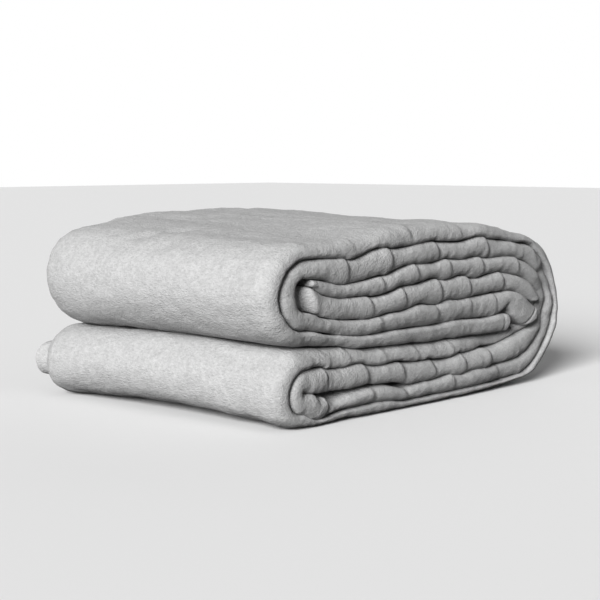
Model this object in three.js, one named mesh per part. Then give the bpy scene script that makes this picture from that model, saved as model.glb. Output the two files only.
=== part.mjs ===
// Folded throw blanket: one fleece panel, folded across its width and then wound end over end into a
// stack of ten leaves. Four leaves make the lower bundle and six the upper one. The two bundles are
// joined by four nested plies along the +X side, the spine, over which the upper bundle opens like the
// cover of a book. Millimetres, +Z up, origin at the middle of the underside.
import * as THREE from 'three';

// Driving dimensions
const STACK_LENGTH = 300; // along X, fold to spine
const STACK_DEPTH = 218; // along Y, the blanket's width after three halvings
const LEAF_PITCH = 12.1; // one leaf is the panel folded to four layers of fleece
const LEAF_GAP = 0.3;
const LEAVES_BELOW = 4;
const LEAVES_ABOVE = 6;
const SPINE_PLIES = 4;
const SPINE_PLY_PITCH = 8.8; // the plies are squeezed thinner where they turn up the spine
const SPINE_INNER_REACH = 10.6; // from the centre of the spine's bends to its innermost ply
const SPINE_INNER_RISE = 2; // clear height inside the innermost ply's bend
const LONG_TAIL_END = 112.5; // X of the free end of the curled leaf in the upper bundle
const SHORT_TAIL_END = 88; // X of the free end of the upper bundle's lowest leaf
const HEM_WIDTH = 12;
const STITCH_THICKNESS = 0.6;
const STITCH_HEIGHT = 8;
const ARC_STEPS = 14;

const LEAF_THICKNESS = LEAF_PITCH - LEAF_GAP;
const LEAF_COUNT = LEAVES_BELOW + LEAVES_ABOVE;
const LEFT_EDGE = -STACK_LENGTH / 2;
const RIGHT_EDGE = STACK_LENGTH / 2;
const STACK_HEIGHT = LEAF_COUNT * LEAF_PITCH - LEAF_GAP;
const SPINE_PLY_THICKNESS = SPINE_PLY_PITCH - LEAF_GAP;
const MIDDLE_OF_SPINE = STACK_HEIGHT / 2;

// Leaves are numbered from the top: 1 to 6 are the upper bundle, 7 to 10 the lower one.
const leafBottom = (number) => (LEAF_COUNT - number) * LEAF_PITCH;
const leafTop = (number) => leafBottom(number) + LEAF_THICKNESS;

// Centres of the spine's bends: all four plies turn round the same two lines.
const BEND_X = RIGHT_EDGE - SPINE_INNER_REACH - SPINE_PLIES * SPINE_PLY_PITCH + LEAF_GAP;
const LOWER_BEND_Z = leafTop(LEAVES_ABOVE + 1) + SPINE_INNER_RISE;
const UPPER_BEND_Z = leafBottom(SPINE_PLIES) - SPINE_INNER_RISE;

const fleece = () =>
  new THREE.MeshStandardMaterial({ color: 0x9c9c9c, roughness: 0.95, metalness: 0 });
const thread = () =>
  new THREE.MeshStandardMaterial({ color: 0x8a8a8a, roughness: 0.8, metalness: 0 });

const blanket = new THREE.Group();

// Extrudes an outline drawn in the XZ plane over the stack's depth, and adds it under its name.
function addPly(name, outline, material) {
  const geometry = new THREE.ExtrudeGeometry(outline, {
    depth: STACK_DEPTH,
    bevelEnabled: false,
    curveSegments: ARC_STEPS,
  });
  geometry.rotateX(Math.PI / 2); // outline's Y becomes Z, depth runs towards -Y
  geometry.translate(0, STACK_DEPTH / 2, 0);
  const mesh = new THREE.Mesh(geometry, material);
  mesh.name = name;
  blanket.add(mesh);
}

function rectangle(left, right, bottom, top) {
  const outline = new THREE.Shape();
  outline.moveTo(left, bottom);
  outline.lineTo(right, bottom);
  outline.lineTo(right, top);
  outline.lineTo(left, top);
  outline.closePath();
  return outline;
}

// A free edge's hem: square where it joins its leaf, round at its end. side is +1 or -1 along X.
function hemOutline(start, side, bottom, top) {
  const radius = (top - bottom) / 2;
  const centre = start + side * (HEM_WIDTH - radius);
  const outline = new THREE.Shape();
  outline.moveTo(start, bottom);
  outline.lineTo(centre, bottom);
  outline.absarc(centre, bottom + radius, radius, -Math.PI / 2, Math.PI / 2, side < 0);
  outline.lineTo(start, top);
  outline.closePath();
  return outline;
}

// Half a ring that opens towards +X: the fold at the left end of two leaves.
function foldOutline(centreX, centreZ, outerRadius) {
  const innerRadius = outerRadius - LEAF_THICKNESS;
  const outline = new THREE.Shape();
  outline.absarc(centreX, centreZ, outerRadius, Math.PI / 2, 1.5 * Math.PI, false);
  outline.absarc(centreX, centreZ, innerRadius, 1.5 * Math.PI, Math.PI / 2, true);
  outline.closePath();
  return outline;
}

// A quarter turn from a leaf into the spine, then straight to the middle of the spine.
// ply counts from 0, the innermost. up is +1 in the upper bundle and -1 in the lower one.
function spineOutline(ply, up) {
  const innerReach = SPINE_INNER_REACH + ply * SPINE_PLY_PITCH;
  const outerReach = innerReach + SPINE_PLY_THICKNESS;
  const innerRise = SPINE_INNER_RISE + ply * LEAF_PITCH;
  const outerRise = innerRise + LEAF_THICKNESS;
  const centreZ = up > 0 ? UPPER_BEND_Z : LOWER_BEND_Z;
  const split = MIDDLE_OF_SPINE + (up * LEAF_GAP) / 2;
  const outline = new THREE.Shape();
  outline.moveTo(BEND_X + innerReach, split);
  outline.lineTo(BEND_X + outerReach, split);
  const quarter = (up * Math.PI) / 2;
  outline.absellipse(BEND_X, centreZ, outerReach, outerRise, 0, quarter, up < 0, 0);
  outline.absellipse(BEND_X, centreZ, innerReach, innerRise, quarter, 0, up > 0, 0);
  outline.closePath();
  return outline;
}

// Left folds: outer and inner, round one centre in each bundle.
const foldCentreX = (outerRadius) => LEFT_EDGE + outerRadius;
const upperFoldRadius = (leafTop(1) - leafBottom(LEAVES_ABOVE)) / 2;
const lowerFoldRadius = (leafTop(LEAVES_ABOVE + 1) - leafBottom(LEAF_COUNT)) / 2;
const upperFoldX = foldCentreX(upperFoldRadius);
const lowerFoldX = foldCentreX(lowerFoldRadius);
const upperFoldZ = leafBottom(LEAVES_ABOVE) + upperFoldRadius;
const lowerFoldZ = leafBottom(LEAF_COUNT) + lowerFoldRadius;
const bundles = [
  { name: 'upper', x: upperFoldX, z: upperFoldZ, radius: upperFoldRadius },
  { name: 'lower', x: lowerFoldX, z: lowerFoldZ, radius: lowerFoldRadius },
];
for (const { name, x, z, radius } of bundles) {
  addPly(`${name}_fold_outer`, foldOutline(x, z, radius), fleece());
  addPly(`${name}_fold_inner`, foldOutline(x, z, radius - LEAF_PITCH), fleece());
}

// Leaves: each is a flat stretch between its fold or free end on the left and its bend or free end
// on the right. A free end holds the hem and the row of stitches that closes it.
const hemAllowance = HEM_WIDTH + STITCH_THICKNESS + 2 * LEAF_GAP;
const leaves = [
  { left: upperFoldX, right: BEND_X },
  { left: upperFoldX, right: BEND_X },
  { left: upperFoldX, right: BEND_X, freeEnd: 'left' },
  { left: upperFoldX, right: BEND_X, freeEnd: 'left' },
  { left: upperFoldX, right: LONG_TAIL_END, freeEnd: 'right' },
  { left: upperFoldX, right: SHORT_TAIL_END, freeEnd: 'right' },
  { left: lowerFoldX, right: BEND_X },
  { left: lowerFoldX, right: BEND_X },
  { left: lowerFoldX, right: BEND_X },
  { left: lowerFoldX, right: BEND_X },
];
leaves.forEach(({ left, right, freeEnd }, index) => {
  const number = index + 1;
  const label = String(number).padStart(2, '0');
  const bottom = leafBottom(number);
  const top = leafTop(number);
  const flatLeft = freeEnd === 'left' ? left + hemAllowance : left + LEAF_GAP;
  const flatRight = freeEnd === 'right' ? right - hemAllowance : right - LEAF_GAP;
  addPly(`leaf_${label}`, rectangle(flatLeft, flatRight, bottom, top), fleece());
  if (!freeEnd) return;

  const side = freeEnd === 'right' ? 1 : -1;
  const flatEnd = side > 0 ? flatRight : flatLeft;
  const seam = flatEnd + side * (LEAF_GAP + STITCH_THICKNESS / 2);
  const hemStart = flatEnd + side * (hemAllowance - HEM_WIDTH);
  const middle = (bottom + top) / 2;
  const row = rectangle(
    seam - STITCH_THICKNESS / 2,
    seam + STITCH_THICKNESS / 2,
    middle - STITCH_HEIGHT / 2,
    middle + STITCH_HEIGHT / 2,
  );
  addPly(`stitches_${label}`, row, thread());
  addPly(`hem_${label}`, hemOutline(hemStart, side, bottom, top), fleece());
});

// Spine: four nested plies, each cut where the bundles part so that its halves open with them.
const plyNames = ['innermost', 'third', 'second', 'outermost'];
plyNames.forEach((plyName, ply) => {
  addPly(`spine_${plyName}_upper`, spineOutline(ply, 1), fleece());
  addPly(`spine_${plyName}_lower`, spineOutline(ply, -1), fleece());
});

export default blanket;
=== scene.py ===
"""Folded grey fleece throw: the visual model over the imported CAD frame.

The stack is a strip of folded fleece, two plies thick, wound end over end. Each ply is laid out as a
cross-section in the XZ plane (all lengths in millimetres until a mesh is made), swept across the stack
with round fold edges, then creased, squeezed and undulated by displacement in code.
"""
import math

import bpy
import numpy as np
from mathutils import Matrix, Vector


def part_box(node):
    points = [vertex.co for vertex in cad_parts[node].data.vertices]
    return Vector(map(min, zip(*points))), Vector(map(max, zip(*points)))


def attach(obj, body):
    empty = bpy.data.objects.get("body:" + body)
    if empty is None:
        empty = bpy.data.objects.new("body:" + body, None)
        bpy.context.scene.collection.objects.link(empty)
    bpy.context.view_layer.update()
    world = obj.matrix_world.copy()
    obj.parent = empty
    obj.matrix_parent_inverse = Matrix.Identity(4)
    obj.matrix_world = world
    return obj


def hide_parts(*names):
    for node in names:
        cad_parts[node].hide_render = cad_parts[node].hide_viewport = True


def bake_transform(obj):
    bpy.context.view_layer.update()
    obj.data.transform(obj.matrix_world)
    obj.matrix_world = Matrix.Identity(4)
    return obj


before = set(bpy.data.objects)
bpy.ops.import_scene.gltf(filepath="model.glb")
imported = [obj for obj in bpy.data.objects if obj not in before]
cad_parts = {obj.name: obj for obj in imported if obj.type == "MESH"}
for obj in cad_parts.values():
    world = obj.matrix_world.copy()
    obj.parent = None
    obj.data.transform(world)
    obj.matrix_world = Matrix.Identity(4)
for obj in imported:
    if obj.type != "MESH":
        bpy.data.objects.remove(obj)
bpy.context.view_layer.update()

MM = 0.001

# ---------------------------------------------------------------- dimensions from the frame


def box_mm(node):
    """Lowest and highest corner of a CAD node, in millimetres."""
    low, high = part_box(node)
    return np.array(low) / MM, np.array(high) / MM


LEAF_COUNT = 10
LEAVES = range(1, LEAF_COUNT + 1)  # from the top: 1 to 6 in the upper bundle, 7 to 10 in the lower one
LEAF_BOX = {number: box_mm(f"leaf_{number:02d}") for number in LEAVES}
LEAF_BOTTOM = {number: LEAF_BOX[number][0][2] for number in LEAVES}
LEAF_TOP = {number: LEAF_BOX[number][1][2] for number in LEAVES}
LEAF_THICKNESS = LEAF_TOP[1] - LEAF_BOTTOM[1]
LEAF_GAP = LEAF_BOTTOM[9] - LEAF_TOP[10]
STACK_TOP = LEAF_TOP[1]

FRONT = LEAF_BOX[1][0][1]
BACK = LEAF_BOX[1][1][1]
DEPTH = BACK - FRONT

UPPER_FOLD_X = box_mm("upper_fold_outer")[1][0]
LOWER_FOLD_X = box_mm("lower_fold_outer")[1][0]
BEND_X = box_mm("spine_outermost_upper")[0][0]
LEAF_06_HEM_END = box_mm("hem_06")[1][0]

SPINE_PLIES = ["innermost", "third", "second", "outermost"]
SPINE_REACH = [box_mm(f"spine_{name}_upper")[1][0] - BEND_X for name in SPINE_PLIES]
SPINE_PLY_THICKNESS = SPINE_REACH[1] - SPINE_REACH[0] - LEAF_GAP
SPINE_RISE = 2.0  # clear height inside the innermost ply's bend
LOWER_BEND_Z = LEAF_TOP[7] + SPINE_RISE
UPPER_BEND_Z = LEAF_BOTTOM[4] - SPINE_RISE

# ---------------------------------------------------------------- given shape

ROW_STEP = 1.1  # spacing of cross-sections along a strip
BEND_ROW_STEP = 0.7  # finer where the spine stretches as the bundle opens
NOSE_STEPS = 12  # points round a fold edge
NOSE_FULLNESS, NOSE_FLATNESS = 0.9, 0.95  # powers of sine and cosine: below 1 is blunter than round
FIRST_SIDE_GAP, SIDE_GAP_GROWTH, WIDEST_SIDE_GAP = 1.6, 1.16, 5.0  # point spacing across the sides
TIP_STEPS, TIP_FROM_ANGLE = 14, 4.0  # cross-sections round a free end's tip
DRAWN_END_STEPS = 14  # cross-sections from one knot of a drawn end to the next

# The stack has settled unevenly. Height above the table along the front edge, at stations along X,
# of the underside, the crevices between the leaves and the top.
STATION_FROM, STATION_STEP = -125.0, 15.0
SETTLED_FRONT = {
    "underside": (
        0.5, 0.5, 0, 0, 0, 0, 0, 0, 0, 0,
        0, 0, 0.3, 0.8, 1.5, 3, 5, 9, 17,
    ),
    "under_09": (
        9, 4.5, 5.3, 7, 7.5, 8, 7.6, 5.5, 5.4, 5.5,
        5.5, 5.5, 5.5, 5.8, 6.2, 7, 8.5, 16, 21,
    ),
    "under_08": (
        21.5, 19.7, 19.5, 19.2, 19.5, 20, 18.7, 15.5, 15.2, 15.2,
        16.5, 15.2, 16.2, 16, 17.9, 19, 20.7, 25.2, 28.7,
    ),
    "under_07": (
        35.1, 35.1, 34.2, 33.2, 34.1, 31.8, 31.3, 30.2, 29.2, 29.1,
        28.5, 29.3, 28.8, 29.8, 30.4, 33.8, 36.8, 35.3, 35.8,
    ),
    "under_06": (
        47.6, 47.6, 46, 45.3, 44.1, 42.8, 42.5, 41.3, 40.9, 40.5,
        40.3, 40.1, 40, 39.9, 39.9, 40.3, 41.8, 42.3, 42.8,
    ),
    "under_05": (
        58.3, 58.3, 55.2, 53, 51.3, 51, 51, 51, 51.2, 51.2,
        51.4, 52, 51.9, 52, 53, 51.5, 50.5, 50, 49,
    ),
    "under_04": (
        69.5, 69.5, 65, 62.5, 61.3, 60.2, 62, 62.8, 66, 64.5,
        66.4, 65.4, 66.9, 67.5, 68.4, 67, 60, 59, 51.5,
    ),
    "under_03": (
        79.5, 84.5, 78.5, 75.5, 75.2, 74.5, 75.3, 79, 79.8, 81.2,
        79.8, 81.5, 79.4, 80.6, 81.2, 78.7, 74, 67.5, 57,
    ),
    "under_02": (
        89, 88.6, 87, 84, 84.3, 85.8, 88.3, 92, 93.2, 92.6,
        94, 93.2, 94, 92.3, 92.1, 90.7, 86, 77.5, 64,
    ),
    "under_01": (
        100, 100, 100, 99.3, 99.5, 103, 103.6, 104.7, 106.3, 106.8,
        106.1, 105.6, 106.6, 104.8, 103.2, 101, 98.5, 90, 73,
    ),
    "top": (
        110, 110, 110.5, 111, 112, 114, 116, 117.5, 117.5, 118,
        117.5, 116.5, 116, 114, 112, 109, 106.3, 99.8, 85.5,
    ),
}
SETTLED_TOP_AT_BACK = (
    114, 115, 117, 118.5, 119.5, 120.5, 121.2, 121.6, 121.2, 120.8, 120.4, 120,
    119.8, 119.2, 118.4, 116.8, 114, 107, 94,
)
SETTLED_AT_BACK = 0.35  # share of the front's unevenness that is left at the back
FRONT_REACH = 100.0  # how far in from the front its uneven crevices reach

# X of the creases along each leaf's front edge, where the fleece was pinched as it was folded.
CREASES = {
    1: (-68, -15, 38, 87),
    2: (-73, -34, 14, 67, 119),
    3: (-40, -7, 27, 63, 102),
    4: (-51, -20, 17, 49, 86),
    5: (-42, 14, 52, 79),
    6: (),
    7: (-72, -39, -7, 31),
    8: (-98, -56, -22, 10, 44, 74),
    9: (-97, -50, -19, 31, 83),
    10: (-40, 20, 75),
}
# How strongly each leaf is creased, 1 being the strongest.
CREASE_STRENGTH = {1: 0.55, 2: 1.0, 3: 0.8, 4: 0.9, 5: 0.5, 6: 0.0, 7: 0.6, 8: 0.9, 9: 0.7, 10: 0.15}
CREASE_SWELL_UP, CREASE_SWELL_DOWN = 1.5, 0.4  # a swollen leaf pushes its neighbours apart
CREASE_REACH = 1.8  # how far the swollen cloth stands out from the edge
CREASE_DROP = 4.4  # width over which it drops again into the crease
CREASE_GROOVE, CREASE_GROOVE_WIDTH = 0.25, 1.5  # the crease's own groove: depth and half width
CREASE_PINCH = 0.2  # how far the groove also squeezes the edge thinner
CREASE_SWELL_POWER = 1.5  # above 1, the swell grows late, just before its crease
SWELL_BEFORE_FIRST = 48.0  # how far left of its first crease a leaf starts to swell
SWELL_AFTER_LAST, SWELL_AFTER_SHARE = 40.0, 0.5  # the swell behind the last crease
CREASE_LEAN = 3.0  # how much further left a crease stands at the top of its edge than at the bottom
CREASE_BOW = 0.4  # how far a crease bows towards +X in the middle of its edge
CREASE_SLANT = 0.1  # how far a crease runs towards -X for every millimetre that it runs in
CREASE_AT_BOTTOM = 0.3  # share of a crease's depth that is left at the bottom of its edge
CREASE_DEEPENING = 1.4  # above 1, it is at full depth before the top of the edge
CREASE_FADE = 15.0  # how far a crease runs in from the edge
CREASE_TURN_FADE = 10.0  # creases die away this close to a fold or the middle of the spine
BACK_CREASE_SHIFT = 8.0  # the far edge's creases are the near edge's, mirrored and shifted by this

# The slit between leaves 08 and 09: X, how far it opens there, and how far in it reaches.
SLIT_X = (-115, -109, -105, -101, -97, -92, -87, -78, -60, -38, -28, -21, -16, -8, 0)
SLIT_OPENING = (0, 3.4, 3.2, 2.4, 3.4, 5.5, 6.0, 4.5, 3.0, 2.0, 2.4, 3.6, 2.4, 0.8, 0)
SLIT_DEPTH = 26.0

# How far the rounded left ends stand in from the frame's left end, along the front and at the back.
LEFT_IN_FRONT = {"upper": 3.0, "lower": 12.0}
LEFT_IN_BACK = {"upper": 0.0, "lower": 1.0}
LEFT_MOVE_FROM, LEFT_MOVE_OVER = -70.0, 62.0  # it starts at this X and grows over this length
BUNDLES_PART_FROM, BUNDLES_PART_OVER = 40.0, 16.0  # height where "lower" turns into "upper"
BACK_CORNER_RADIUS = 34.0
BACK_CORNER_IN = {"upper": 13.5, "lower": 2.0}
BACK_CORNER_FLATTER = 0.17  # the upper bundle also gets lower towards that corner
FLATTER_FROM, FLATTER_OVER = -60.0, 70.0
UPPER_MIDDLE = 80.0  # height of the middle of the upper bundle's left fold
BACK_FLARE = 0.6  # a ply that reaches out at the back also leans left, by this share
BACK_RECESS_SHARE = 0.5  # where a front edge stands back, the far edge does so by this share
SPINE_OUT = 13.0  # how far the spine bulges beyond the frame's right end
SPINE_OUT_FROM, SPINE_OUT_OVER = 100.0, 45.0
UNDERSIDE_LIFT = 4.5  # the lower left fold is off the table half way along its length
CREVICE_LIFT = 2.5  # and the crevice between the bundles is higher there
LIFT_FROM, LIFT_OVER = -85.0, 40.0
LIFT_POWER = 1.5  # above 1, the lift keeps clear of the two ends

# Free ends, drawn along the front: (X, height of the middle, half thickness) from the tip inwards.
LEAF_05_END = (
    (118.5, 46.5, 6.8),
    (112, 51.0, 7.6),
    (104.5, 56.5, 8.0),
    (97.5, 60.6, 6.6),
    (91.5, 62.8, 5.0),
    (85, 61.0, 6.8),
    (78, 60.0, 7.8),
    (70, 59.8, 7.6),
)
LEAF_04_END_TOP, LEAF_04_END_BOTTOM = -121.0, -114.0
SLANT_FADE = 30.0  # how far in the slant of leaf 04's end is gone
LEAF_03_END = -108.0
LEAF_06_BEYOND_HEM = 4.0  # how far leaf 06 reaches past the end of the frame's hem
HEM_STITCHES_IN = 5.0  # from a free end to its row of stitches
HEM_GROOVE_WIDTH = 0.8
STITCH_PITCH, STITCH_LENGTH, STITCH_RADIUS, STITCH_PROUD = 4.2, 3.2, 0.4, 0.1
STITCHES_FROM_EDGE = 7.0
STITCH_SIDES, STITCH_RINGS, STITCH_END_ANGLE = 8, 5, 80.0

# Inside the left folds the cloth bunches up: share of the even inner radius that is left, along X.
FOLD_BUNCHING = {"outer": 1.0, "inner": 0.75}

# Rounding of a ply's edges: depth on the outer side, depth on the inner side, where it peaks.
PLY_NOSE = (5.0, 5.0, 0.0)
INNER_NOSE = (6.0, 4.4, -0.15)
COVER_NOSE = (11.0, 3.6, -0.4)
EDGE_DEPTH, EDGE_FADE = 0.8, 4.0  # an edge's own moves start to fade at this share of its rounding

# Height of the random undulation, from the slowest waves to the fuzz's own unevenness.
BROAD_HEIGHT, SETTLE_HEIGHT = 0.8, 0.6
SOFT_HEIGHT, LUMP_HEIGHT, FINE_HEIGHT = 0.36, 0.13, 0.1
ELSEWHERE = 300.0  # offset that reads the same waves at an unrelated place
TABLE_FADE = 30.0  # waves in height fade out this close to the table
LOWEST_POINT = 0.15  # the cloth stays this far above the table

# Soft dents in the upper cover's left shoulder: (centre, direction, half length, half width, depth).
DENTS = (
    ((-112, 12, 119), (0.8, -0.4, 0.2), 16, 5, 2.4),
    ((-126, 22, 116), (0.2, 0.3, 0.9), 13, 4, 2.0),
)

rng = np.random.default_rng(1207)


# ---------------------------------------------------------------- smooth fields


def smoothstep(t):
    """An S-shaped step from 0 at t = 0 to 1 at t = 1."""
    t = np.clip(t, 0.0, 1.0)
    return t * t * (3 - 2 * t)


def smooth_interpolation(at, values):
    """Catmull-Rom interpolation of values that stand at 0, 1, 2 and so on."""
    values = np.asarray(values, float)
    padded = np.concatenate([[2 * values[0] - values[1]], values, [2 * values[-1] - values[-2]]])
    at = np.clip(at, 0, len(values) - 1)
    index = np.clip(np.floor(at).astype(int), 0, len(values) - 2)
    t = at - index
    p0, p1, p2, p3 = (padded[index + offset] for offset in range(4))
    return 0.5 * (
        2 * p1
        + (p2 - p0) * t
        + (2 * p0 - 5 * p1 + 4 * p2 - p3) * t**2
        + (3 * p1 - p0 - 3 * p2 + p3) * t**3
    )


class Waves:
    """A smooth random field: a sum of sine waves of about one wavelength, between about -1 and 1."""

    def __init__(self, wavelength, count=22, stretch=(1, 1, 1)):
        directions = rng.normal(size=(count, 3))
        directions /= np.linalg.norm(directions, axis=1)[:, None]
        lengths = wavelength * rng.uniform(0.7, 1.6, count)
        self.k = directions * (2 * math.pi / lengths)[:, None] / np.array(stretch)
        self.phase = rng.uniform(0, 2 * math.pi, count)
        self.scale = math.sqrt(2 / count) * 0.7  # the waves seldom add up, so most of it is within 1

    def __call__(self, points):
        return self.scale * np.sin(points @ self.k.T + self.phase).sum(-1)


broad_waves = Waves(95)
settle_waves = Waves(80, stretch=(1, 1.3, 0.35))
soft_waves = Waves(34)
lump_waves = Waves(13)
fine_waves = Waves(6.5)


def crease_profile(x, creases):
    """(swell, groove) of a creased edge at x: it swells towards each crease, then drops into it."""
    swell = np.zeros_like(x)
    groove = np.zeros_like(x)
    if not creases:
        return swell, groove
    starts = [creases[0] - SWELL_BEFORE_FIRST, *creases]
    for start, end in zip(starts, creases):
        t = np.clip((x - start) / (end - start), 0, 1)
        inside = (x >= start) & (x < end)
        drop = 1 - smoothstep((x - end + CREASE_DROP) / CREASE_DROP)
        swell += np.where(inside, t**CREASE_SWELL_POWER * drop, 0)
        groove += np.exp(-(((x - end) / CREASE_GROOVE_WIDTH) ** 2))
    tail = (x - creases[-1]) / SWELL_AFTER_LAST
    last_swell = SWELL_AFTER_SHARE * smoothstep(tail) * smoothstep(2.0 - tail)
    swell += np.where(x >= creases[-1], last_swell, 0)
    return swell, groove


def back_creases(creases):
    """The far edge is creased too, at other places."""
    return tuple(sorted(BACK_CREASE_SHIFT - x for x in creases))


# ---------------------------------------------------------------- how the stack has settled

# Heights of the same surfaces in the frame's even stack: the table, the nine gaps and the top.
EVEN_GAPS = [LEAF_BOTTOM[number] - LEAF_GAP / 2 for number in range(LEAF_COUNT - 1, 0, -1)]
EVEN_LEVELS = np.array([0.0, *EVEN_GAPS, STACK_TOP])


def settled_levels(x, y):
    """Height of the underside, each crevice and the top at every (x, y): shaped (levels, points)."""
    station = (x - STATION_FROM) / STATION_STEP
    front = np.array([smooth_interpolation(station, row) for row in SETTLED_FRONT.values()])
    top_at_back = smooth_interpolation(station, SETTLED_TOP_AT_BACK)
    even = front[0] + (top_at_back - front[0]) * (EVEN_LEVELS / STACK_TOP)[:, None]
    back = SETTLED_AT_BACK * front + (1 - SETTLED_AT_BACK) * even
    back[-1] = top_at_back
    share = np.tile(smoothstep((y - FRONT) / FRONT_REACH), (len(front), 1))
    share[[0, -1]] = smoothstep((y - FRONT) / DEPTH)
    return front * (1 - share) + back * share


def crease_swells(x, y):
    """How far each leaf is swollen by its creases at every (x, y)."""
    front_edge = np.exp(-np.maximum(y - FRONT, 0) / CREASE_FADE)
    back_edge = np.exp(-np.maximum(BACK - y, 0) / CREASE_FADE)
    swells = {}
    for number in LEAVES:
        front_swell, _ = crease_profile(x + CREASE_SLANT * (y - FRONT), CREASES[number])
        back_swell, _ = crease_profile(x, back_creases(CREASES[number]))
        swells[number] = CREASE_STRENGTH[number] * (front_swell * front_edge + back_swell * back_edge)
    return swells


def height_in_stack(x, y, z):
    """The height that a point of the even stack has in the settled and creased one."""
    levels = settled_levels(x, y)
    swells = crease_swells(x, y)
    for level in range(1, LEAF_COUNT + 1):
        leaf_below = LEAF_COUNT + 1 - level
        levels[level] += CREASE_SWELL_UP * swells[leaf_below]
        if level < LEAF_COUNT:
            levels[level] -= CREASE_SWELL_DOWN * swells[leaf_below - 1]

    index = np.clip(np.searchsorted(EVEN_LEVELS, z, side="right") - 1, 0, LEAF_COUNT - 1)
    low, high = EVEN_LEVELS[index], EVEN_LEVELS[index + 1]
    share = (z - low) / (high - low)
    columns = np.arange(len(z))
    height = levels[index, columns] * (1 - share) + levels[index + 1, columns] * share

    slit = np.interp(x, SLIT_X, SLIT_OPENING) * np.exp(-np.maximum(y - FRONT, 0) / SLIT_DEPTH)
    in_leaf_09 = index == 1
    return height - slit * np.clip((z - LEAF_BOTTOM[9]) / LEAF_THICKNESS, 0, 1) * in_leaf_09


def lifted(x, y, z, height):
    """height, with the lower left fold off the table half way along and the crevice raised there."""
    depth_share = np.clip((y - FRONT) / DEPTH, 0, 1)
    half_way = np.sin(math.pi * depth_share) ** LIFT_POWER * smoothstep((LIFT_FROM - x) / LIFT_OVER)
    parting = LEAF_BOTTOM[6]
    height = height + UNDERSIDE_LIFT * half_way * np.clip(1 - z / parting, 0, 1)
    nearness = np.minimum(z / parting, (STACK_TOP - z) / (STACK_TOP - parting))
    return height + CREVICE_LIFT * half_way * nearness


def settled(points):
    """Points of the even stack, moved to where the settled and creased stack has them."""
    x, y, z = points.T
    to_back = smoothstep((y - FRONT) / DEPTH)
    corner = np.clip((y - BACK + BACK_CORNER_RADIUS) / BACK_CORNER_RADIUS, 0, 1)
    corner = 1 - np.sqrt(1 - corner**2)
    move_in = {}
    for bundle in ("upper", "lower"):
        even_move = LEFT_IN_FRONT[bundle] * (1 - to_back) + LEFT_IN_BACK[bundle] * to_back
        move_in[bundle] = even_move + BACK_CORNER_IN[bundle] * corner
    is_upper = smoothstep((z - BUNDLES_PART_FROM) / BUNDLES_PART_OVER)
    move = move_in["upper"] * is_upper + move_in["lower"] * (1 - is_upper)
    left = smoothstep((LEFT_MOVE_FROM - x) / LEFT_MOVE_OVER)
    right = smoothstep((x - SPINE_OUT_FROM) / SPINE_OUT_OVER)

    height = lifted(x, y, z, height_in_stack(x, y, z))
    at_left = smoothstep((FLATTER_FROM - x) / FLATTER_OVER)
    flatter = BACK_CORNER_FLATTER * corner * at_left * is_upper
    height += (UPPER_MIDDLE - height) * flatter
    return np.column_stack([x + move * left + SPINE_OUT * right, y, height])


def even_height(x, front_height):
    """The even stack's height for a place drawn along the settled front edge."""
    levels = settled_levels(x, np.full(len(x), FRONT))
    return np.array([np.interp(h, levels[:, i], EVEN_LEVELS) for i, h in enumerate(front_height)])


# ---------------------------------------------------------------- strips as cross-sections


def leg(start_x, end_x, outer_z, inner_z, leaf):
    """A flat stretch of strip: outer and inner surface points, and the leaf they belong to."""
    count = max(2, round(abs(end_x - start_x) / ROW_STEP) + 1)
    x = np.linspace(start_x, end_x, count)
    outer = np.column_stack([x, np.full(count, outer_z)])
    inner = np.column_stack([x, np.full(count, inner_z)])
    return outer, inner, np.full(count, leaf)


def bend(centre, outer_radii, inner_radii, start_angle, end_angle, step=ROW_STEP, leaf=0):
    """A turn of the strip round a centre, with elliptical surfaces; angles in degrees.

    leaf is 0 where no leaf's creases run on into the turn."""
    length = math.radians(abs(end_angle - start_angle)) * max(outer_radii)
    count = max(6, round(length / step) + 1)
    angle = np.radians(np.linspace(start_angle, end_angle, count))
    circle = np.column_stack([np.cos(angle), np.sin(angle)])
    outer = np.array(centre) + circle * np.array(outer_radii)
    inner = np.array(centre) + circle * np.array(inner_radii)
    return outer, inner, np.full(count, leaf)


def joined(*stretches):
    """One strip from stretches that follow each other, with their shared cross-sections merged."""
    outer, inner, leaf = (np.concatenate(parts) for parts in zip(*stretches))
    moved = np.linalg.norm(np.diff((outer + inner) / 2, axis=0), axis=1)
    keep = np.concatenate([[True], moved > 1e-6])
    return outer[keep], inner[keep], leaf[keep]


def left_fold(bundle, ply):
    """The fold at the left of a bundle, from its lower leaf up to its upper one."""
    low, high = box_mm(f"{bundle}_fold_{ply}")
    radius = (high[2] - low[2]) / 2
    centre = (high[0], (low[2] + high[2]) / 2)
    inside = radius - LEAF_THICKNESS
    bunched = inside * FOLD_BUNCHING[ply]
    return bend(centre, (radius, radius), (bunched, inside), 270, 90)


def spine_turn(ply):
    """A ply's way from the lower bundle up the spine into the upper one; ply 0 is innermost.

    Its outer side here is the one that faces away from the bends."""
    reach = SPINE_REACH[ply]
    inside = reach - SPINE_PLY_THICKNESS
    rise = SPINE_RISE + ply * (LEAF_THICKNESS + LEAF_GAP)
    far, near = (reach, rise + LEAF_THICKNESS), (inside, rise)
    lower = bend((BEND_X, LOWER_BEND_Z), far, near, -90, 0, BEND_ROW_STEP, 7 + ply)
    count = round((UPPER_BEND_Z - LOWER_BEND_Z) / (BEND_ROW_STEP / 2)) + 1
    z = np.linspace(LOWER_BEND_Z, UPPER_BEND_Z, count)
    straight = (
        np.column_stack([np.full(count, BEND_X + reach), z]),
        np.column_stack([np.full(count, BEND_X + inside), z]),
        np.zeros(count, int),
    )
    upper = bend((BEND_X, UPPER_BEND_Z), far, near, 0, 90, BEND_ROW_STEP, 4 - ply)
    return joined(lower, straight, upper)


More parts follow.
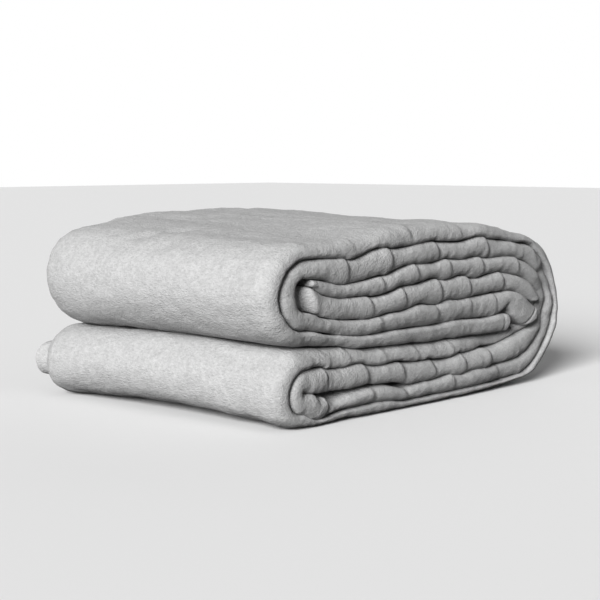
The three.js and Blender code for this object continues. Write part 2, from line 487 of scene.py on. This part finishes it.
def drawn_end(knots, leaf):
    """A leaf's free end drawn by its middle line and half thickness, tip first."""
    x, z, half = np.array(knots, float).T
    at = np.linspace(0, len(knots) - 1, DRAWN_END_STEPS * (len(knots) - 1) + 1)
    x, z, half = (smooth_interpolation(at, values) for values in (x, z, half))
    slope = np.column_stack([np.gradient(x), np.gradient(z)])
    slope /= np.linalg.norm(slope, axis=1)[:, None]
    across = np.column_stack([-slope[:, 1], slope[:, 0]]) * half[:, None]
    middle = np.column_stack([x, z])
    sides = []
    for side in (middle + across, middle - across):
        sides.append(np.column_stack([side[:, 0], even_height(side[:, 0], side[:, 1])]))
    return sides[0], sides[1], np.full(len(x), leaf)


def slanted_leg(start_x, slant, end_x, leaf):
    """A leaf's flat stretch from a free end that leans: its top starts further left by slant."""
    outer, inner, leaves = leg(start_x, end_x, LEAF_TOP[leaf], LEAF_BOTTOM[leaf], leaf)
    leaning = 1 - smoothstep((outer[:, 0] - start_x) / SLANT_FADE)
    outer[:, 0] -= slant * leaning
    return outer, inner, leaves


# ---------------------------------------------------------------- from cross-section to cloth


def side_positions(nose):
    """Distances in from an edge of the rows of points across a flat side, up to the middle."""
    positions = []
    at, gap = nose, FIRST_SIDE_GAP
    while at < DEPTH / 2:
        positions.append(at)
        at += gap
        gap = min(gap * SIDE_GAP_GROWTH, WIDEST_SIDE_GAP)
    return positions


def section_loop(nose):
    """Points round a strip's section: n from -1 (inner face) to 1 (outer face), and y.

    nose is how deep the edge's rounding is on the outer side, how deep on the inner side, and n
    where the edge stands out furthest."""
    outer_depth, inner_depth, peak = nose
    angles = np.linspace(-90, 90, NOSE_STEPS + 1)[1:-1]
    sine, cosine = np.sin(np.radians(angles)), np.cos(np.radians(angles))
    is_outer = sine > 0
    rise = np.sign(sine) * np.abs(sine) ** NOSE_FULLNESS
    nose_n = peak + np.where(is_outer, 1 - peak, 1 + peak) * rise
    nose_in = np.where(is_outer, outer_depth, inner_depth) * (1 - cosine**NOSE_FLATNESS)
    sides = side_positions(max(outer_depth, inner_depth))
    side_y = np.array([FRONT + d for d in sides] + [BACK - d for d in reversed(sides)])
    n = np.concatenate([nose_n, np.ones(len(side_y)), nose_n[::-1], -np.ones(len(side_y))])
    y = np.concatenate([FRONT + nose_in, side_y, BACK - nose_in[::-1], side_y[::-1]])
    return n, y


def edge_share(depth_in, nose_depth):
    """How much a point this far in from an edge belongs to its rounding: 1 on it, fading inwards."""
    inward = np.maximum(depth_in - nose_depth * EDGE_DEPTH, 0)
    return np.exp(-inward / EDGE_FADE)


def surface_normals(grid):
    """Outward normals of a closed tube of points, shaped (rows, columns, 3)."""
    along = np.gradient(grid, axis=0)
    around = np.roll(grid, -1, axis=1) - np.roll(grid, 1, axis=1)
    normals = np.cross(around, along)
    normals /= np.maximum(np.linalg.norm(normals, axis=2), 1e-9)[:, :, None]
    centre = grid.mean(axis=1, keepdims=True)
    if np.sum((grid - centre) * normals) < 0:
        normals = -normals
    return normals


def distance_along(strip):
    """Distance of each cross-section from the strip's start, along its middle."""
    middle = (strip[0] + strip[1]) / 2
    steps = np.linalg.norm(np.diff(middle, axis=0), axis=1)
    return np.concatenate([[0], np.cumsum(steps)])


def rounded_start(strip, radius, bluntness=2.6):
    """Rounds off the free end that a strip starts with, with close cross-sections round the tip."""
    outer, inner, leaf = strip
    distance = distance_along(strip)
    angle = np.radians(np.linspace(TIP_FROM_ANGLE, 90, TIP_STEPS))
    tip = radius * (1 - np.cos(angle) ** (2 / bluntness))
    closing = np.sin(angle) ** (2 / bluntness)
    rest = distance[distance > radius + ROW_STEP / 2]
    at = np.concatenate([tip, rest])
    closing = np.concatenate([closing, np.ones(len(rest))])[:, None]
    outer, inner = (
        np.column_stack([np.interp(at, distance, side[:, axis]) for axis in range(2)])
        for side in (outer, inner)
    )
    middle = (outer + inner) / 2
    leaf = leaf[np.clip(np.searchsorted(distance, at), 0, len(leaf) - 1)]
    return middle + (outer - middle) * closing, middle + (inner - middle) * closing, leaf


def eased_table(at, table):
    """Values of a table of (place, value), with a smooth step between one and the next."""
    places, values = np.array(table, float).T
    index = np.clip(np.searchsorted(places, at, side="right") - 1, 0, len(places) - 2)
    share = smoothstep((at - places[index]) / (places[index + 1] - places[index]))
    return values[index] * (1 - share) + values[index + 1] * share


def dents(points):
    """How deep the soft dents of the upper cover are at each point of the even stack."""
    depth_here = np.zeros(len(points))
    for centre, direction, length, width, depth in DENTS:
        direction = np.array(direction) / np.linalg.norm(direction)
        away = points - np.array(centre)
        along = away @ direction
        across_squared = np.maximum((away**2).sum(1) - along**2, 0)
        depth_here += depth * np.exp(-(along**2) / (2 * length**2) - across_squared / (2 * width**2))
    return depth_here


def crease_moves(leaf, distance, even, n, front, back):
    """What the creases do to a strip: how far they move its front edge and its back edge out, and
    how far they pinch it thinner."""
    shape = even.shape[:2]
    front_out, back_out, pinch = np.zeros(shape), np.zeros(shape), np.zeros(shape)
    turning = distance[leaf == 0]
    for number in LEAVES:
        in_leaf = leaf == number
        if not in_leaf.any() or not CREASES[number]:
            continue
        strength = np.full((in_leaf.sum(), 1), CREASE_STRENGTH[number])
        if len(turning):
            to_turn = np.abs(distance[in_leaf, None] - turning).min(1)
            strength = strength * smoothstep(to_turn / CREASE_TURN_FADE)[:, None]
        x, z = even[in_leaf, :, 0], even[in_leaf, :, 2]
        share_up = (z - LEAF_BOTTOM[number]) / LEAF_THICKNESS
        deepening = smoothstep(share_up * CREASE_DEEPENING)
        strength = strength * (CREASE_AT_BOTTOM + (1 - CREASE_AT_BOTTOM) * deepening)
        x = x + CREASE_LEAN * (share_up - 0.5)
        x = x + CREASE_BOW * (n**2 - 0.5)[None, :]
        swell, groove = crease_profile(x, CREASES[number])
        back_swell, back_groove = crease_profile(x, back_creases(CREASES[number]))
        front_out[in_leaf] = strength * (CREASE_REACH * swell - CREASE_GROOVE * groove)
        back_out[in_leaf] = strength * (CREASE_REACH * back_swell - CREASE_GROOVE * back_groove)
        pinch[in_leaf] = strength * CREASE_PINCH * (groove * front + back_groove * back)
    return front_out, back_out, pinch


def undulated(points, original, shape, dented):
    """Settled points with the cloth's random unevenness and, if it is dented, its dents.

    original holds the same points in the even stack, and shape is the grid that they make."""
    above_table = smoothstep(original[:, 2] / TABLE_FADE)
    points[:, 2] += SETTLE_HEIGHT * settle_waves(original) * above_table
    points[:, 1] += BROAD_HEIGHT * broad_waves(original + (0, 0, ELSEWHERE))
    points[:, 0] += BROAD_HEIGHT * broad_waves(original + (ELSEWHERE, 0, 0))
    normals = surface_normals(points.reshape(shape)).reshape(-1, 3)
    lift = SOFT_HEIGHT * soft_waves(original)
    lift += LUMP_HEIGHT * lump_waves(original)
    lift += FINE_HEIGHT * fine_waves(original)
    if dented:
        lift -= dents(original)
    points = points + normals * lift[:, None]
    points[:, 2] = np.maximum(points[:, 2], LOWEST_POINT)
    return points.reshape(shape)


def swept(strip, n, y):
    """The strip laid across the stack without any unevenness: points shaped (rows, columns, 3)."""
    outer, inner, _ = strip
    share = ((n + 1) / 2)[None, :, None]
    flat = inner[:, None, :] * (1 - share) + outer[:, None, :] * share
    even = np.empty((len(outer), len(n), 3))
    even[:, :, 0] = flat[:, :, 0]
    even[:, :, 1] = y[None, :]
    even[:, :, 2] = flat[:, :, 1]
    return even


def directions_through(strip):
    """Unit vectors from the inner to the outer side of each cross-section, shaped (rows, 1, 3)."""
    through = strip[0] - strip[1]
    through = through / np.maximum(np.linalg.norm(through, axis=1), 1e-9)[:, None]
    return np.column_stack([through[:, 0], np.zeros(len(through)), through[:, 1]])[:, None, :]


NOWHERE = ((0, 0), (1, 0))  # a table for eased_table() that is 0 all along


def cloth(
    strip,
    nose=PLY_NOSE,
    recess=NOWHERE,
    back_reach=NOWHERE,
    tightened=NOWHERE,
    hem_groove=0.0,
    dented=False,
):
    """The settled, creased surface of a strip, shaped (rows, columns, 3), in millimetres.

    recess says how far the strip's front edge stands back, and back_reach how far its back edge
    reaches beyond the stack, both as (distance along the strip, amount). tightened says in the same
    way what share of the rounding's depth is taken off the outer side. hem_groove is how deep the
    groove along its hem stitches is."""
    n, y = section_loop(nose)
    nose_depth = max(nose[:2])
    front = edge_share(y - FRONT, nose_depth)[None, :]
    back = edge_share(BACK - y, nose_depth)[None, :]

    even = swept(strip, n, y)
    distance = distance_along(strip)
    on_outer_rounding = (n > nose[2]) & (n < 1)
    tightening = eased_table(distance, tightened)[:, None] * on_outer_rounding[None, :]
    nearest_edge = np.where(y < (FRONT + BACK) / 2, FRONT, BACK)
    even[:, :, 1] -= tightening * (y - nearest_edge)[None, :]

    front_out, back_out, pinch = crease_moves(strip[2], distance, even, n, front, back)
    standing_back = eased_table(distance, recess)[:, None]
    beyond = eased_table(distance, back_reach)[:, None]
    front_move = standing_back - front_out
    back_move = beyond - BACK_RECESS_SHARE * standing_back + back_out
    if hem_groove:
        from_seam = (distance - HEM_STITCHES_IN) / HEM_GROOVE_WIDTH
        seam = hem_groove * np.exp(-(from_seam**2))[:, None]
        pinch += seam
        front_move += seam
        back_move -= seam

    points = even.copy()
    points[:, :, 1] += front_move * front + back_move * back
    points[:, :, 0] -= BACK_FLARE * beyond * back
    points -= directions_through(strip) * (pinch * n[None, :])[:, :, None]
    return undulated(settled(points.reshape(-1, 3)), even.reshape(-1, 3), even.shape, dented)


def stitch_mesh(base, centre, along, across, up):
    """Vertices and faces of one stitch, a short round-ended cylinder; base is its first vertex."""
    turns = np.linspace(0, 2 * math.pi, STITCH_SIDES, endpoint=False)
    verts, faces = [], []
    for ring in np.radians(np.linspace(-STITCH_END_ANGLE, STITCH_END_ANGLE, STITCH_RINGS)):
        ring_centre = centre + up * STITCH_PROUD + along * STITCH_LENGTH / 2 * math.sin(ring)
        radius = STITCH_RADIUS * math.cos(ring) ** 0.5
        for turn in turns:
            verts.append(ring_centre + radius * (across * math.cos(turn) + up * math.sin(turn)))
    for r in range(STITCH_RINGS - 1):
        for t in range(STITCH_SIDES):
            a = base + r * STITCH_SIDES + t
            b = base + r * STITCH_SIDES + (t + 1) % STITCH_SIDES
            faces.append((a, b, b + STITCH_SIDES, a + STITCH_SIDES))
    last_ring = base + (STITCH_RINGS - 1) * STITCH_SIDES
    faces.append([base + t for t in reversed(range(STITCH_SIDES))])
    faces.append([last_ring + t for t in range(STITCH_SIDES)])
    return verts, faces


def stitch_row(grid, row):
    """Vertices and faces of a line of stitches on both sides of a strip, across it at one row."""
    normals = surface_normals(grid)
    nose_points = NOSE_STEPS - 1
    side_points = (grid.shape[1] - 2 * nose_points) // 2
    outer_side, inner_side = nose_points, 2 * nose_points + side_points
    verts, faces = [], []
    for start in (outer_side, inner_side):
        points = grid[row, start : start + side_points]
        outward = normals[row, start : start + side_points]
        order = np.argsort(points[:, 1])
        points, outward = points[order], outward[order]
        for y in np.arange(FRONT + STITCHES_FROM_EDGE, BACK - STITCHES_FROM_EDGE, STITCH_PITCH):
            centre = np.array([np.interp(y, points[:, 1], points[:, axis]) for axis in range(3)])
            up = np.array([np.interp(y, points[:, 1], outward[:, axis]) for axis in range(3)])
            up /= np.linalg.norm(up)
            along = np.array([0, 1, 0]) - up * up[1]
            across = np.cross(along, up)
            stitch_verts, stitch_faces = stitch_mesh(len(verts), centre, along, across, up)
            verts.extend(stitch_verts)
            faces.extend(stitch_faces)
    return np.array(verts), faces


def add_piece(name, mesh, material):
    """Gives a mesh its material and puts it in the scene as an object of that name."""
    mesh.materials.append(material)
    piece = bpy.data.objects.new(name, mesh)
    bpy.context.scene.collection.objects.link(piece)
    return piece


def make_stitches(name, grid, row):
    """A hem's line of stitches as one piece of thread."""
    verts, faces = stitch_row(grid, row)
    mesh = bpy.data.meshes.new(name)
    mesh.from_pydata((verts * MM).tolist(), [], faces)
    mesh.shade_smooth()
    return add_piece(name, mesh, THREAD)


def signed_volume(mesh):
    """Volume of a closed mesh, negative where its faces point inwards."""
    total = 0.0
    for polygon in mesh.polygons:
        a, *rest = [mesh.vertices[index].co for index in polygon.vertices]
        for b, c in zip(rest, rest[1:]):
            total += a.dot(b.cross(c))
    return total / 6


def make_ply(name, grid):
    """A closed fleece mesh from a tube of points, its two ends capped."""
    rows, columns, _ = grid.shape
    i, j = np.meshgrid(np.arange(rows - 1), np.arange(columns), indexing="ij")
    here, below = i * columns, (i + 1) * columns
    beside = (j + 1) % columns
    quads = np.stack([here + j, here + beside, below + beside, below + j], -1)
    faces = quads.reshape(-1, 4).tolist()
    faces.append(list(range(columns))[::-1])
    faces.append([(rows - 1) * columns + column for column in range(columns)])
    mesh = bpy.data.meshes.new(name)
    mesh.from_pydata((grid.reshape(-1, 3) * MM).tolist(), [], faces)
    mesh.validate()
    if signed_volume(mesh) < 0:
        mesh.flip_normals()
    normals = surface_normals(grid).reshape(-1, 3)
    mesh.shade_smooth()
    mesh.normals_split_custom_set_from_vertices([tuple(normal) for normal in normals])
    return add_piece(name, mesh, FLEECE)


# ---------------------------------------------------------------- materials

FLEECE_DARK, FLEECE_LIGHT = 0.29, 0.44
NAP_SCALE, TUFT_SCALE, MOTTLE_SCALE = 1300, 600, 190
THREAD_DARK, THREAD_LIGHT = 0.2, 0.38


def new_material(name, roughness):
    """A material with nodes: itself, its nodes, its links and its Principled shader."""
    material = bpy.data.materials.new(name)
    material.use_nodes = True
    nodes, links = material.node_tree.nodes, material.node_tree.links
    shader = nodes["Principled BSDF"]
    shader.inputs["Roughness"].default_value = roughness
    return material, nodes, links, shader


def add_tone(nodes, links, shader, source, dark, light, limits=(0.0, 1.0)):
    """Greys the shader's colour from dark to light as source goes from one limit to the other."""
    ramp = nodes.new("ShaderNodeValToRGB")
    for element, position, grey in zip(ramp.color_ramp.elements, limits, (dark, light)):
        element.position = position
        element.color = (grey, grey, grey, 1)
    links.new(source, ramp.inputs["Fac"])
    links.new(ramp.outputs["Color"], shader.inputs["Base Color"])


def add_bump(nodes, links, shader, source, strength, distance):
    """Roughens the shader's surface as if source were its height; distance is in metres."""
    bump = nodes.new("ShaderNodeBump")
    bump.inputs["Strength"].default_value = strength
    bump.inputs["Distance"].default_value = distance
    links.new(source, bump.inputs["Height"])
    links.new(bump.outputs["Normal"], shader.inputs["Normal"])


def fleece_material():
    """Brushed fleece: grey with a fine mottle, a short nap that leans one way, and a soft sheen."""
    material, nodes, links, shader = new_material("brushed_fleece", roughness=0.95)
    shader.inputs["Specular IOR Level"].default_value = 0.1
    shader.inputs["Sheen Weight"].default_value = 0.04
    shader.inputs["Sheen Roughness"].default_value = 0.5

    place = nodes.new("ShaderNodeTexCoord")
    nap_map = nodes.new("ShaderNodeMapping")
    nap_map.inputs["Scale"].default_value = (1.0, 0.6, 1.3)
    nap_map.inputs["Rotation"].default_value = (0.3, 0.5, 0.2)
    links.new(place.outputs["Object"], nap_map.inputs["Vector"])

    def noise(scale, detail, roughness, source):
        node = nodes.new("ShaderNodeTexNoise")
        node.inputs["Scale"].default_value = scale
        node.inputs["Detail"].default_value = detail
        node.inputs["Roughness"].default_value = roughness
        links.new(source, node.inputs["Vector"])
        return node.outputs["Fac"]

    def weighted(a, b, share_of_b):
        node = nodes.new("ShaderNodeMix")
        node.data_type = "FLOAT"
        node.inputs["Factor"].default_value = share_of_b
        links.new(a, node.inputs["A"])
        links.new(b, node.inputs["B"])
        return node.outputs["Result"]

    nap = noise(NAP_SCALE, 2.0, 0.6, nap_map.outputs["Vector"])
    tufts = noise(TUFT_SCALE, 2.0, 0.55, nap_map.outputs["Vector"])
    mottle = noise(MOTTLE_SCALE, 3.0, 0.55, place.outputs["Object"])
    grain = weighted(nap, tufts, 0.5)
    tone = weighted(grain, mottle, 0.25)
    height = weighted(grain, mottle, 0.2)
    add_tone(nodes, links, shader, tone, FLEECE_DARK, FLEECE_LIGHT, limits=(0.35, 0.65))
    add_bump(nodes, links, shader, height, strength=0.8, distance=0.0018)
    return material


def thread_material():
    """Matt sewing thread with a fine twist."""
    material, nodes, links, shader = new_material("hem_thread", roughness=0.7)
    place = nodes.new("ShaderNodeTexCoord")
    twist = nodes.new("ShaderNodeTexWave")
    twist.inputs["Scale"].default_value = 900
    twist.bands_direction = "DIAGONAL"
    links.new(place.outputs["Object"], twist.inputs["Vector"])
    add_tone(nodes, links, shader, twist.outputs["Fac"], THREAD_DARK, THREAD_LIGHT)
    add_bump(nodes, links, shader, twist.outputs["Fac"], strength=0.5, distance=0.0002)
    return material


FLEECE = fleece_material()
THREAD = thread_material()

# ---------------------------------------------------------------- the pieces

# Cross-sections, each from one end of its ply to the other, with the ply's outer side first.
upper_cover = joined(
    leg(LEAF_06_HEM_END + LEAF_06_BEYOND_HEM, UPPER_FOLD_X, LEAF_BOTTOM[6], LEAF_TOP[6], 6),
    left_fold("upper", "outer"),
    leg(UPPER_FOLD_X, BEND_X, LEAF_TOP[1], LEAF_BOTTOM[1], 1),
)
upper_inner = joined(
    drawn_end(LEAF_05_END, 5),
    leg(LEAF_05_END[-1][0], UPPER_FOLD_X, LEAF_BOTTOM[5], LEAF_TOP[5], 5),
    left_fold("upper", "inner"),
    leg(UPPER_FOLD_X, BEND_X, LEAF_TOP[2], LEAF_BOTTOM[2], 2),
)
lower_cover = joined(
    leg(BEND_X, LOWER_FOLD_X, LEAF_BOTTOM[10], LEAF_TOP[10], 10),
    left_fold("lower", "outer"),
    leg(LOWER_FOLD_X, BEND_X, LEAF_TOP[7], LEAF_BOTTOM[7], 7),
)
lower_inner = joined(
    leg(BEND_X, LOWER_FOLD_X, LEAF_BOTTOM[9], LEAF_TOP[9], 9),
    left_fold("lower", "inner"),
    leg(LOWER_FOLD_X, BEND_X, LEAF_TOP[8], LEAF_BOTTOM[8], 8),
)
leaf_03 = leg(LEAF_03_END, BEND_X, LEAF_TOP[3], LEAF_BOTTOM[3], 3)
leaf_04 = slanted_leg(LEAF_04_END_BOTTOM, LEAF_04_END_BOTTOM - LEAF_04_END_TOP, BEND_X, 4)

# Every ply: its cross-section, what cloth() makes of it, the body it rides (None where it rides
# neither and stays where it is), the frame's nodes that it replaces, and the stitches in its hem.
PLIES = [
    dict(
        name="upper_cover",
        strip=rounded_start(upper_cover, radius=2.2, bluntness=5.0),
        cloth=dict(
            nose=COVER_NOSE,
            tightened=((0, 0.55), (150, 0.55), (210, 0)),
            hem_groove=0.6,
            dented=True,
        ),
        body="upper_bundle",
        nodes=["leaf_06", "hem_06", "upper_fold_outer", "leaf_01"],
        stitches="stitches_06",
    ),
    dict(
        name="upper_inner_ply",
        strip=rounded_start(upper_inner, radius=4.0),
        cloth=dict(nose=INNER_NOSE, hem_groove=0.7),
        body="upper_bundle",
        nodes=["leaf_05", "hem_05", "upper_fold_inner", "leaf_02"],
        stitches="stitches_05",
    ),
    dict(
        name="leaf_03_ply",
        strip=rounded_start(leaf_03, radius=1.8, bluntness=4.0),
        cloth=dict(hem_groove=0.5),
        body="upper_bundle",
        nodes=["leaf_03", "hem_03"],
        stitches="stitches_03",
    ),
    dict(
        name="leaf_04_ply",
        strip=rounded_start(leaf_04, radius=3.0, bluntness=5.0),
        cloth=dict(recess=((0, 8), (13, 0)), hem_groove=0.2),
        body="upper_bundle",
        nodes=["leaf_04", "hem_04"],
        stitches="stitches_04",
    ),
    dict(
        name="lower_cover",
        strip=lower_cover,
        cloth=dict(
            nose=COVER_NOSE,
            recess=((0, 2), (180, 2), (250, 1.5), (290, 0), (440, 0), (500, 8)),
            back_reach=((200, 0), (240, -3), (280, -3), (310, 0)),
        ),
        body="lower_bundle",
        nodes=["leaf_10", "lower_fold_outer", "leaf_07"],
    ),
    dict(
        name="lower_inner_ply",
        strip=lower_inner,
        cloth=dict(
            nose=INNER_NOSE,
            recess=((0, 3), (60, 0), (430, 0), (499, 3)),
            back_reach=((170, 0), (216, 5), (237, 13), (243, 13), (265, 5), (308, 0)),
        ),
        body="lower_bundle",
        nodes=["leaf_09", "lower_fold_inner", "leaf_08"],
    ),
]

# How far each spine ply's front edge stands back: (distance along the ply, amount).
SPINE_RECESS = {
    "innermost": ((0, 8), (15, 8), (28, 4), (36, 6), (41, 0)),
    "third": ((0, 3), (42, 7), (62, 4), (80, 0)),
    "second": ((0, 3), (42, 6), (70, 4), (98, 4), (106, 0)),
    "outermost": ((0, 2), (50, 3.5), (95, 3.5), (140, 1), (154, 0)),
}
for from_inside, place in enumerate(SPINE_PLIES):
    nose = COVER_NOSE if place == "outermost" else PLY_NOSE
    PLIES.append(
        dict(
            name=f"spine_{place}_ply",
            strip=spine_turn(from_inside),
            cloth=dict(nose=nose, recess=SPINE_RECESS[place]),
            body=None,
            nodes=[f"spine_{place}_lower", f"spine_{place}_upper"],
        )
    )

for ply in PLIES:
    grid = cloth(ply["strip"], **ply["cloth"])
    piece = make_ply(ply["name"], grid)
    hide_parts(*ply["nodes"])
    if ply["body"]:
        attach(piece, ply["body"])
    else:
        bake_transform(piece)
    if "stitches" in ply:
        row = int(np.argmin(np.abs(distance_along(ply["strip"]) - HEM_STITCHES_IN)))
        stitches = make_stitches(f"{ply['stitches']}_thread", grid, row)
        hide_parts(ply["stitches"])
        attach(stitches, ply["body"])

# ---------------------------------------------------------------- stage

FLOOR_HALF_SIZE = 6.0  # metres, like everything on the stage
FLOOR_TONE = 0.78
FLOOR_BOUNCE = 0.05  # the light that the floor sends back up at the stack is held down
AMBIENT = 0.2  # strength of the even light from all round
LENS, SENSOR_WIDTH = 81.6, 36.0
CAMERA_HEADING = 43.5  # degrees between the view direction and +X
CAMERA_PITCH = 5.9  # degrees that it looks down
CAMERA_STAND_OFF, CAMERA_HEIGHT = 0.782, 0.1585
NEAR_CORNER = Vector((-119 * MM, FRONT * MM, 0))  # the stack's near bottom corner


def add_floor():
    """A pale floor that shows one tone to the camera and gives less light back to the stack."""
    mesh = bpy.data.meshes.new("floor")
    half = FLOOR_HALF_SIZE
    corners = [(-half, -half, 0), (half, -half, 0), (half, half, 0), (-half, half, 0)]
    mesh.from_pydata(corners, [], [(0, 1, 2, 3)])
    material, nodes, links, shader = new_material("pale_floor", roughness=1.0)
    shader.inputs["Specular IOR Level"].default_value = 0.0
    seen = nodes.new("ShaderNodeLightPath")
    tone = nodes.new("ShaderNodeMapRange")
    tone.inputs["To Min"].default_value = FLOOR_BOUNCE
    tone.inputs["To Max"].default_value = FLOOR_TONE
    links.new(seen.outputs["Is Camera Ray"], tone.inputs["Value"])
    links.new(tone.outputs["Result"], shader.inputs["Base Color"])
    add_piece("floor", mesh, material)


def add_light(name, azimuth, elevation, spread, strength):
    data = bpy.data.lights.new(name, "SUN")
    data.angle = math.radians(spread)
    data.energy = strength
    light = bpy.data.objects.new(name, data)
    a, e = math.radians(azimuth), math.radians(elevation)
    direction = Vector((math.sin(a) * math.cos(e), -math.cos(a) * math.cos(e), math.sin(e)))
    light.rotation_euler = (-direction).to_track_quat("-Z", "Y").to_euler()
    bpy.context.scene.collection.objects.link(light)


def add_camera():
    """Stands off the stack's near bottom corner and looks slightly down past it."""
    data = bpy.data.cameras.new("camera")
    data.sensor_width = SENSOR_WIDTH
    data.lens = LENS
    data.clip_start, data.clip_end = 0.01, 50
    camera = bpy.data.objects.new("camera", data)
    heading, pitch = math.radians(CAMERA_HEADING), math.radians(CAMERA_PITCH)
    ahead = Vector((math.cos(heading), math.sin(heading), 0))
    camera.location = NEAR_CORNER - ahead * CAMERA_STAND_OFF + Vector((0, 0, CAMERA_HEIGHT))
    look = ahead * math.cos(pitch) - Vector((0, 0, math.sin(pitch)))
    camera.rotation_euler = look.to_track_quat("-Z", "Y").to_euler()
    bpy.context.scene.collection.objects.link(camera)
    bpy.context.scene.camera = camera


def set_world():
    """Even light from all round, in front of a white backdrop that only the camera sees."""
    world = bpy.data.worlds.new("studio")
    world.use_nodes = True
    nodes, links = world.node_tree.nodes, world.node_tree.links
    ambient = nodes["Background"]
    ambient.inputs["Strength"].default_value = AMBIENT
    backdrop = nodes.new("ShaderNodeBackground")
    for background in (ambient, backdrop):
        background.inputs["Color"].default_value = (1, 1, 1, 1)
    seen = nodes.new("ShaderNodeLightPath")
    mix = nodes.new("ShaderNodeMixShader")
    links.new(seen.outputs["Is Camera Ray"], mix.inputs["Fac"])
    links.new(ambient.outputs["Background"], mix.inputs[1])
    links.new(backdrop.outputs["Background"], mix.inputs[2])
    links.new(mix.outputs["Shader"], nodes["World Output"].inputs["Surface"])
    bpy.context.scene.world = world
    bpy.context.scene.view_settings.view_transform = "Standard"


add_floor()
add_camera()
add_light("key_light", azimuth=-70, elevation=22, spread=26, strength=6.2)
add_light("fill_light", azimuth=115, elevation=8, spread=60, strength=0.8)
set_world()
